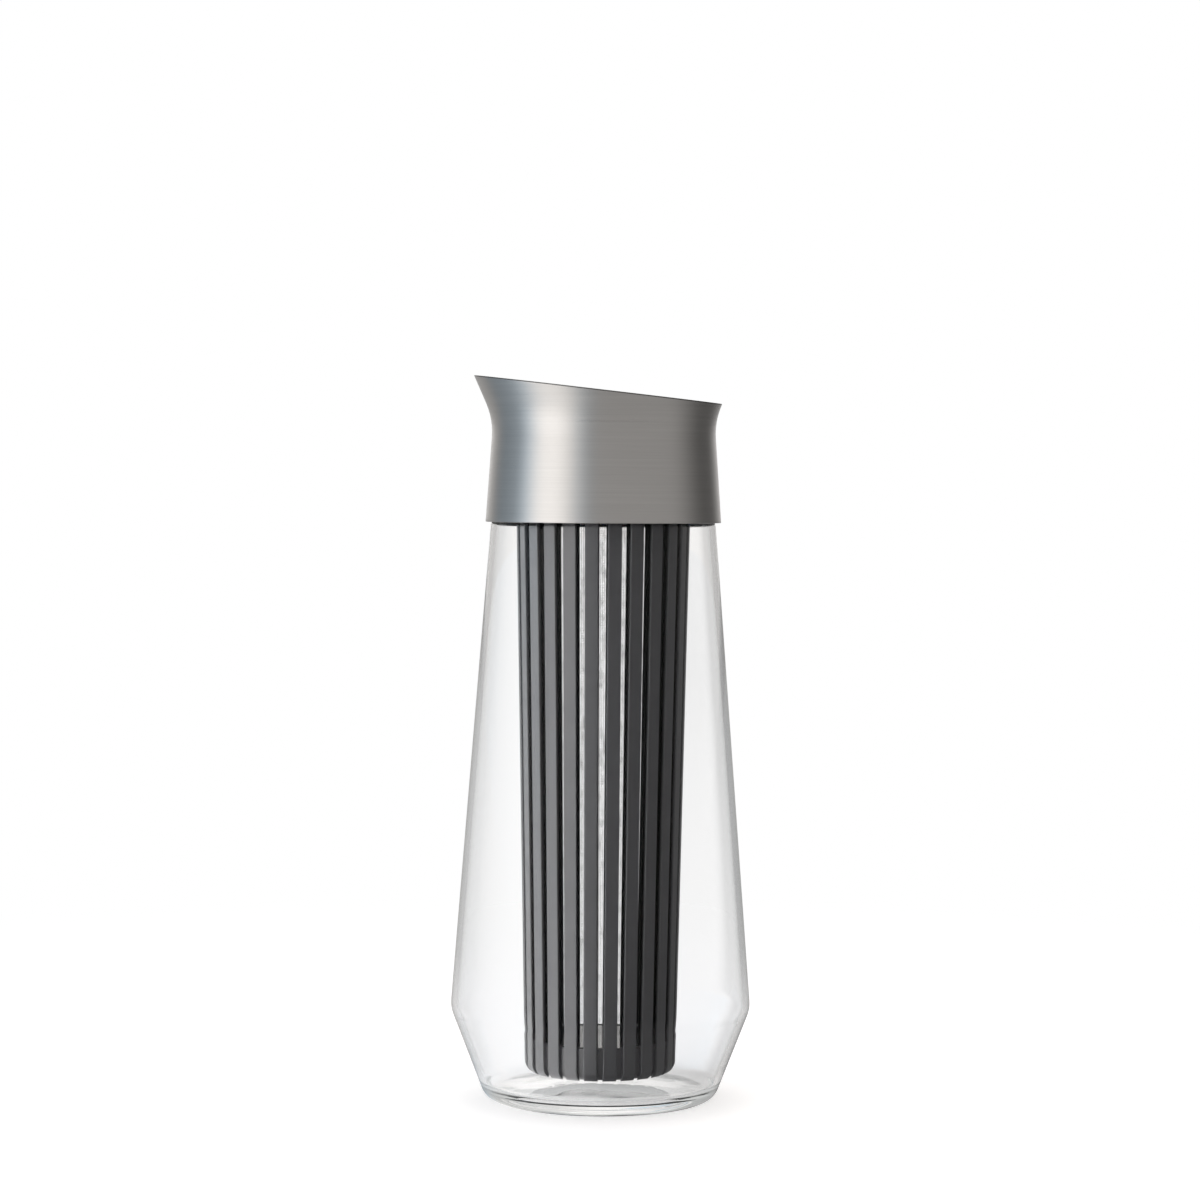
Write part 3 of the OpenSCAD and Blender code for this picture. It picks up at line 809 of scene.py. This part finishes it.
    def rim(self, p):
        """The plug in the neck and the flange on the glass, as one closed profile."""
        inner = p.cage_r(p.rim_z) - p.wall_in
        e = p.edge
        return rounded([(inner, p.rim_z, e), (p.plug_r, p.rim_z, e), (p.plug_r, p.flange_z, 0),
                        (p.flange_r, p.flange_z, e), (p.flange_r, p.flange_top_z, e),
                        (inner, p.flange_top_z, e)], closed=True)


class CARAFE_OT_filter_mesh(Step, Operator):
    """Build the mesh sleeve behind the ribs"""

    bl_idname = "carafe.filter_mesh"
    bl_label = "Filter mesh"

    def build(self, p, colours):
        """A thin cone wall turned round Z, from the cup's edge up to the rim."""
        low, high = p.cage_r(p.cup_top_z) - p.sleeve_in, p.cage_r(p.rim_z) - p.sleeve_in
        profile = np.array([(low, p.cup_top_z), (low + p.mesh_wall, p.cup_top_z),
                            (high + p.mesh_wall, p.rim_z), (high, p.rim_z)])
        around = round(2 * pi * low / p.thread_pitch)
        cloth = woven_mesh("mesh_finish", colours.mesh, around, p.thread_pitch, p.thread_w)
        make_piece("mesh_sleeve", [skin(turned(profile), ring=True)], cloth,
                   "filter", "filter_mesh")


class CARAFE_OT_pouring_collar(Step, Operator):
    """Build the brushed steel collar"""

    bl_idname = "carafe.pouring_collar"
    bl_label = "Pouring collar"

    def build(self, p, colours):
        """The collar's profile turned round Z and cut by a sloping plane: at each angle the outside
        and the inside run up to where they meet the plane, and half ellipses round the two edges."""
        a = np.linspace(0, 2 * pi, AROUND * 2, endpoint=False)
        outer = self.wall(p, p.collar_path, a)
        inner = self.wall(p, shifted(p.collar_path, p.steel_t), a)
        rows = np.concatenate([
            outer, self.edge(p, outer[-1], inner[-1], outer[-1] - outer[-2]),
            inner[::-1], self.edge(p, inner[0], outer[0], inner[0] - inner[1])])
        r, z = rows[..., 0], rows[..., 1]
        points = np.stack([r * np.cos(a), r * np.sin(a), z], 2)
        # painted shade along the cut rim
        steel = brushed_metal("collar_finish", colours.steel, (45, 45, 5200), 0.3, anisotropy=0.75,
                              cut=lambda coords: self.cut_edge(p, coords))
        make_piece("steel_collar", [skin(points, ring=True)], steel, "lid", "spout_collar")

    def cut_edge(self, p, coords):
        """Painted shade along the cut rim: the height plus the slope's drop, near the height of the cut."""
        x, _, z = axes(coords)
        return remap(x * tan(p.rim_tilt) + z, p.cut_z - 0.55 * MM, p.cut_z - 0.3 * MM)

    def wall(self, p, path, a, rows=72, step=0.25 * MM):
        """Rows of (radius, height) at every angle, spread along the profile from its lower edge to
        the cut, where height plus the slope's drop equals the cut's height."""
        line = refined(rounded(path), step)
        s = np.concatenate([[0], np.cumsum(np.linalg.norm(np.diff(line, axis=0), axis=1))])
        drop = line[:, :1] * np.cos(a) * tan(p.rim_tilt)
        over = line[:, 1:] + drop - p.cut_z
        i = np.argmax(over > 0, axis=0)
        before, after = (np.take_along_axis(over, at[None], 0)[0] for at in (i - 1, i))
        end = s[i - 1] + (s[i] - s[i - 1]) * -before / (after - before)
        t = np.linspace(0, 1, rows)[:, None]
        at = p.rim_edge + (end - 2 * p.rim_edge) * t
        return np.stack([np.interp(at, s, line[:, 0]), np.interp(at, s, line[:, 1])], 2)

    def edge(self, p, start, stop, ahead, steps=8):
        """Half an ellipse from one wall to the other, bulging ahead by the edge's height."""
        ahead = ahead / np.linalg.norm(ahead, axis=1, keepdims=True)
        t = np.linspace(0, pi, steps + 1)[1:-1, None, None]
        middle, half = (start + stop) / 2, (start - stop) / 2
        return middle + half * np.cos(t) + ahead * p.rim_edge * np.sin(t)


class CARAFE_OT_collar_core(Step, Operator):
    """Build the collar's plastic core and the neck's gasket"""

    bl_idname = "carafe.collar_core"
    bl_label = "Collar core"

    def build(self, p, colours):
        """The core's closed profile is turned with its rows on two axes: the wall on the carafe's,
        and the pouring hole and its seat on the hole's own axis, so the deck runs between them."""
        corners = self.core(p)
        profile = rounded(corners, closed=True)
        counts = [len(rounded([corners[i - 1], c, corners[(i + 1) % len(corners)]])) - 2
                  for i, c in enumerate(corners)]
        middle = np.repeat([-p.pour_shift * c[3] for c in corners], counts)
        shells = [skin(turned(profile, middle), ring=True)] + [self.ear(p, side) for side in (-1, 1)]
        make_piece("collar_core", shells, core_plastic(colours), "lid", "collar_liner")
        make_piece("neck_gasket_band", [skin(turned(self.gasket(p)), ring=True)], silicone(colours),
                   "lid", "neck_gasket")

    def core(self, p, rows=14):
        """Corners (radius, height, rounding, on the hole's axis) of the core's profile."""
        skin_line = rounded(shifted(p.collar_path, p.steel_t + p.fit_gap))
        z = np.linspace(p.liner_z, p.liner_top_z, rows)
        r = np.interp(z, skin_line[:, 1], skin_line[:, 0])
        inner = np.interp(p.deck_top_z, skin_line[:, 1], skin_line[:, 0]) - p.coaming_t
        e, thin = p.edge, p.edge / 2
        seat_r, top = p.pour_r + p.seat_w, p.gasket_z + p.gasket_h
        return [(r[0], z[0], thin, 0), *[(a, b, 0, 0) for a, b in zip(r[1:-1], z[1:-1])],
                (r[-1], z[-1], e, 0), (r[-1] - p.coaming_t, p.liner_top_z, e, 0),
                (inner, p.deck_top_z, 2 * e, 0),
                (seat_r, p.deck_top_z, e, 1), (seat_r, p.seat_top_z, e, 1),
                (p.pour_r, p.seat_top_z, e, 1), (p.pour_r, p.deck_z, e, 1), (p.liner_in_r, p.deck_z, e, 0),
                (p.liner_in_r, top, thin, 0), (p.groove_r, top, thin, 0), (p.groove_r, p.gasket_z, thin, 0),
                (p.liner_in_r, p.gasket_z, thin, 0), (p.liner_in_r, p.liner_z, thin, 0)]

    def ear(self, p, side, columns=96):
        """An ear round the pin: seen along the hinge it is a half circle above the axis and a block
        below it, so its reach at each angle is the nearest of the circle and the block's sides."""
        f = np.linspace(0, 2 * pi, columns, endpoint=False)
        drop = p.hinge_z - p.deck_top_z + p.edge
        with np.errstate(divide="ignore"):
            block = np.minimum(p.knuckle_r / np.abs(np.cos(f)), drop / np.abs(np.sin(f)))
        reach = np.where(np.sin(f) >= 0, p.knuckle_r, block)
        start = side * p.ear_y
        return bored_bar(p, reach[:, None] * circle(f), p.pin_r, start, start + side * p.ear_t)

    def gasket(self, p, soft=0.12 * MM):
        """A band with saw-tooth lips towards the neck, as one closed profile."""
        lip_r = p.neck_r + p.lip_gap
        band_r, back_r = lip_r + p.gasket_band, p.groove_r - p.rest_gap
        pitch = (p.gasket_h - 2 * p.rest_gap) / p.lip_count
        low = p.gasket_z + p.rest_gap
        teeth = [c for i in range(p.lip_count)
                 for c in ((band_r, low + i * pitch, soft), (lip_r, low + (i + 0.6) * pitch, soft))]
        high = low + p.lip_count * pitch
        return rounded([(back_r, high, soft), (back_r, low, soft), *teeth, (band_r, high, soft)], closed=True)


class CARAFE_OT_pouring_flap(Step, Operator):
    """Build the flap's frame, its steel cap and its seal"""

    bl_idname = "carafe.pouring_flap"
    bl_label = "Pouring flap"

    def build(self, p, colours):
        """The disc and the seal are profiles turned round the hole's axis."""
        e, top = p.edge, p.frame_z + p.frame_t
        disc = rounded([(0, p.frame_z, 0), (p.frame_r, p.frame_z, e), (p.frame_r, top, e), (0, top, 0)])
        inner, outer = p.seal_r - p.seal_w / 2, p.seal_r + p.seal_w / 2
        ring = rounded([(inner, p.seal_z, e), (outer, p.seal_z, e), (outer, p.frame_z, e),
                        (inner, p.frame_z, e)], closed=True)
        make_piece("flap_disc", [skin(turned(disc, -p.pour_shift)), self.knuckle(p)],
                   core_plastic(colours), "flap", "flap_frame")
        make_piece("flap_cap", [skin(self.cap(p))],
                   brushed_metal("cap_finish", colours.cap, (3800, 40, 40), 0.3),
                   "flap", "flap_plate")
        make_piece("flap_seal_ring", [skin(turned(ring, -p.pour_shift), ring=True)], silicone(colours),
                   "flap", "flap_seal")

    def knuckle(self, p, overlap=6 * MM):
        """Seen along the hinge: the knuckle's circle, the arm that runs back into the disc, and the
        heel's square corner that stops the flap when it is open."""
        r, arm = p.knuckle_r, p.hinge_reach + overlap
        low, high = p.frame_z - p.hinge_z, p.frame_z + p.frame_t - p.hinge_z
        a0, a1 = pi - np.arcsin(high / r), pi + np.arcsin(-low / r)
        run = np.linspace(r * 1.02, arm, 12)
        outline = np.concatenate([
            [(p.heel_l, 0), (p.heel_l, r * 0.5), (p.heel_l, r), (r * 0.5, r)],
            r * circle(np.linspace(pi / 2, a0, 10)),
            np.stack([-run, np.full(len(run), high)], 1), np.stack([-run[::-1], np.full(len(run), low)], 1),
            r * circle(np.linspace(a1, 2 * pi, 28))])
        return bored_bar(p, outline, p.pin_r + p.pin_gap, -p.knuckle_l / 2, p.knuckle_l / 2)

    def cap(self, p, jamb=0.002, hair=0.02 * MM):
        """A shallow cap turned round the hole's axis, from the middle of its top over a rounded edge,
        down the skirt and back under. In the notch for the arm the skirt stops a hair below the cap's
        underside, and jamb is the angle over which it comes up."""
        notch = np.arcsin((p.knuckle_l / 2 + p.fit_gap) / p.plate_r)
        a = np.unique(np.concatenate([np.linspace(-pi, pi, AROUND, endpoint=False),
                                      [-notch - jamb, -notch, notch, notch + jamb]]))
        top, inside = p.plate_z + p.plate_t, p.plate_r - p.plate_t
        upper = rounded([(0, top, 0), (p.plate_r, top, p.plate_edge), (p.plate_r, p.frame_z, 0)])[:-1]
        low = np.where(np.abs(a) <= notch, p.plate_z - hair, p.frame_z)
        profile = [*upper, (p.plate_r, low), (inside, low), (inside, p.plate_z), (0, p.plate_z)]
        r, z = (np.stack([np.broadcast_to(row[i], a.shape) for row in profile]) for i in (0, 1))
        return np.stack([r * np.cos(a) - p.pour_shift, r * np.sin(a), z], 2)


class CARAFE_OT_hinge_pin(Step, Operator):
    """Build the hinge pin"""

    bl_idname = "carafe.hinge_pin"
    bl_label = "Hinge pin"

    def build(self, p, colours):
        """A rod's profile turned round the hinge's axis, with its ends rounded."""
        half, e = p.pin_l / 2, 0.25 * MM
        profile = rounded([(0, -half, 0), (p.pin_r, -half, e), (p.pin_r, half, e), (0, half, 0)])
        rod = turned(refined(profile, 3 * MM), columns=48)
        points = np.stack([p.hinge_x + rod[..., 0], rod[..., 2], p.hinge_z + rod[..., 1]], 2)
        steel = brushed_metal("pin_finish", colours.pin, (900, 4000, 900), 0.2)
        make_piece("hinge_pin", [skin(points)], steel, "lid", "flap_pin")


# Studio


def span(value, middle, full, gone):
    """A soft-edged span of an angle round its middle, in degrees."""
    return remap(abs(value - radians(middle)), radians(gone), radians(full), smooth=True)


def bearing_of(vector, s):
    """The angle of a direction round Z, from the camera's side and growing to its right."""
    faced = add(vector.tree, "Mapping", {"Vector": vector, "Rotation": (0, 0, -s.azimuth)})[0]
    x, y, _ = axes(faced)
    return x.math("ARCTAN2", y * -1.0)


def fading(bearing, least=0.85, starts=-0.01, ends=0.09):
    """The backdrop's evenness: one on the left, falling to its least just right of the middle, by the
    sine of the bearing."""
    return remap(bearing.math("SINE"), starts, ends, 1.0, least, smooth=True)


def behind(bearing, starts=132, full=178):
    """Where the white backdrop stands, in degrees off the camera's side: it is full behind the carafe
    and less towards the right."""
    return remap(abs(bearing), radians(starts), radians(full), smooth=True) * fading(bearing)


def screens(bearing, faint=0.3):
    """Where the dark screens stand: a faint one on the left and a deep one on the right."""
    return span(bearing, *LEFT_SCREEN) * faint + span(bearing, *RIGHT_SCREEN)


def cast(bearing, faint=0.4):
    """The light's colour: cool on both sides of the window, faintly so on its right, and a little warm
    elsewhere."""
    return blend(span(bearing, *COOL_RIGHT) * faint + span(bearing, *COOL_LEFT), WARM_LIGHT, COOL_LIGHT)


def filter_key(bearing, s, rest=0.18):
    """The level of the filter's own light: full on the left, little on the right, white behind."""
    return (behind(bearing) * s.backdrop).or_more(span(bearing, *KEY) * s.cage_key + rest)


def inside_glass(rays):
    """One for a ray that was thrown back inside the glass's own wall: it was mirrored at least once,
    passed one to three faces of glass and met nothing matt."""
    faces = rays["Transmission Depth"]
    return (rays["Glossy Depth"] > 0.5) * (faces > 0.5) * (faces < 3.5) * (rays["Diffuse Depth"] < 0.5)


def from_filter(rays):
    """One for a ray that leaves the filter through the glass: it met something matt or glossy and
    passed four faces of glass or more."""
    return (rays["Diffuse Depth"] + rays["Glossy Depth"] > 0.5) * (rays["Transmission Depth"] > 3.5)


@painted
def pale_floor(coords, colour, s, veil=0.85, thrown_loss=0.35):
    """Near the carafe a matt floor that takes soft shade, with an even glow of its own that grows right
    under the foot. Further out it is the white of the backdrop. Through the glass a veil dims the near
    floor, both fade towards the right, and a ray thrown back inside the glass loses more of the white.
    A mirror sees the window and the screens on it instead, and the filter sees its own light."""
    rays = add(coords.tree, "LightPath")
    camera, inside = rays["Is Camera Ray"], inside_glass(rays)
    bearing, away = bearing_of(coords, s), distance(coords)
    even = fading(bearing, remap(away, 0.4, 3.0, 0.93, 0.84))
    cloud = blend(noise(coords, 9.0, 3.0, 0.5), rgba(colour, 0.99), rgba(colour, 1.01))
    matt = add(coords.tree, "BsdfDiffuse", {"Color": cloud})[0]
    glow = emission(remap(away, 44 * MM, 12 * MM, s.floor_glow, s.under_glow, smooth=True))
    near = add(coords.tree, "AddShader", {0: matt, 1: glow})[0]
    near = add(coords.tree, "MixShader", {0: camera.or_more(even * veil), 2: near})[0]
    white = emission(camera.or_more(even - inside * thrown_loss) * s.backdrop)
    far = remap(away, 0.1, 0.6, smooth=True)
    reach = remap(away, 0.25, 0.8, 0.62, 1.05)
    lit = span(bearing, *WINDOW) * reach * s.window - screens(bearing) * s.shade + s.floor_gloss
    seen = camera.or_more(rays["Is Transmission Ray"]).or_more(inside)
    return mixed(from_filter(rays), mixed(seen, emission(lit, cast(bearing)), mixed(far, near, white)),
                 emission(filter_key(bearing, s)))


class CARAFE_OT_studio(Operator):
    """Set up the pale floor, the soft light and the camera"""

    bl_idname = "carafe.studio"
    bl_label = "Studio"

    def execute(self, context):
        scene = context.scene
        scene.view_settings.view_transform = "Standard"
        for part in (self.floor, self.light, self.camera):
            part(scene, scene.carafe_studio)
        return {"FINISHED"}

    def camera(self, scene, s):
        """The camera stands back along its azimuth, looks down by its pitch and leans by its roll."""
        right, up = Vector((cos(s.azimuth), sin(s.azimuth), 0)), Vector((0, 0, 1))
        back = Vector((sin(s.azimuth), -cos(s.azimuth), 0))
        spot = back * s.distance + up * s.height + right * s.sideways
        look, rise = back * cos(s.pitch) + up * sin(s.pitch), up * cos(s.pitch) - back * sin(s.pitch)
        across, upright = right * cos(s.roll) + rise * sin(s.roll), rise * cos(s.roll) - right * sin(s.roll)
        data = bpy.data.cameras.new("camera")
        data.sensor_fit, data.sensor_width = "HORIZONTAL", SENSOR
        data.lens = s.focal / IMAGE_SIDE * SENSOR
        data.clip_end = 30
        camera = bpy.data.objects.new("camera", data)
        scene.collection.objects.link(camera)
        camera.matrix_world = Matrix.Translation(spot) @ Matrix((across, upright, look)).transposed().to_4x4()
        scene.camera = camera

    def floor(self, scene, s, drop=0.2 * MM):
        """A flat disc of rings round the carafe, a small drop below its foot."""
        rings = np.array([(r, -drop) for r in (0, 0.1, 0.3, 0.8, 2, 6, 14)])
        flat, quads, _ = skin(turned(rings, columns=96))
        mesh = bpy.data.meshes.new("floor")
        mesh.from_pydata(flat.tolist(), [], [list(dict.fromkeys(q)) for q in quads.tolist()])
        mesh.materials.append(pale_floor("pale_floor", scene.carafe_colours.floor, s))
        floor = bpy.data.objects.new("floor", mesh)
        scene.collection.objects.link(floor)

    def light(self, scene, s, thrown_back=0.7):
        """A studio painted on the sky by direction, round the camera's azimuth: white behind the carafe,
        a soft window on the left, dark screens at the sides and a broad light overhead. A ray from
        the camera itself sees plain white, one thrown back inside the glass sees no less than a share
        of it, and one from the filter sees the filter's own light."""
        scene.world = bpy.data.worlds.new("studio")
        scene.world.use_nodes = True
        tree = scene.world.node_tree
        tree.nodes.clear()
        rays, towards = add(tree, "LightPath"), add(tree, "TexCoord")["Generated"]
        bearing, height = bearing_of(towards, s), axes(towards)[2].math("ARCSINE")
        window = span(bearing, *WINDOW) * span(height, *WINDOW_HEIGHT)
        screen = screens(bearing) * span(height, *SCREEN_HEIGHT)
        above = remap(height, radians(35), radians(70), smooth=True)
        total = (behind(bearing) * (s.backdrop - s.room) + s.room + window * s.window
                 - screen * s.shade + above * s.overhead)
        total = total.or_more(inside_glass(rays) * (s.backdrop * thrown_back))
        filtered = from_filter(rays)
        total = total * (filtered < 0.5) + filter_key(bearing, s) * filtered
        studio = add(tree, "Background", {"Color": cast(bearing), "Strength": total})[0]
        white = add(tree, "Background", {"Color": WHITE, "Strength": s.backdrop})[0]
        add(tree, "OutputWorld", {"Surface": mixed(rays["Is Camera Ray"], studio, white)})


class CARAFE_PT_sidebar(Panel):
    """Lists the carafe's sizes and the steps that build it"""

    bl_idname = "CARAFE_PT_sidebar"
    bl_label = "Cold brew carafe"
    bl_space_type = "VIEW_3D"
    bl_region_type = "UI"
    bl_category = "Carafe"

    def draw(self, context):
        for step in STEPS:
            self.layout.operator(step.bl_idname)
        for name in SETTINGS:
            group = getattr(context.scene, name)
            box = self.layout.box()
            box.label(text=type(group).__doc__)
            for size in group.__annotations__:
                box.prop(group, size)


STEPS = (CARAFE_OT_studio, CARAFE_OT_glass_body, CARAFE_OT_filter_cage, CARAFE_OT_filter_mesh,
         CARAFE_OT_pouring_collar, CARAFE_OT_collar_core, CARAFE_OT_pouring_flap, CARAFE_OT_hinge_pin)
CLASSES = (*SETTINGS.values(), *STEPS, CARAFE_PT_sidebar)


def register():
    for cls in CLASSES:
        bpy.utils.register_class(cls)
    for name, group in SETTINGS.items():
        setattr(bpy.types.Scene, name, PointerProperty(type=group))


def unregister():
    for name in SETTINGS:
        delattr(bpy.types.Scene, name)
    for cls in reversed(CLASSES):
        bpy.utils.unregister_class(cls)


def main():
    """Registers the classes and runs the steps in order."""
    register()
    for step in STEPS:
        getattr(bpy.ops.carafe, step.bl_idname.split(".")[1])()


if __name__ == "__main__":
    main()
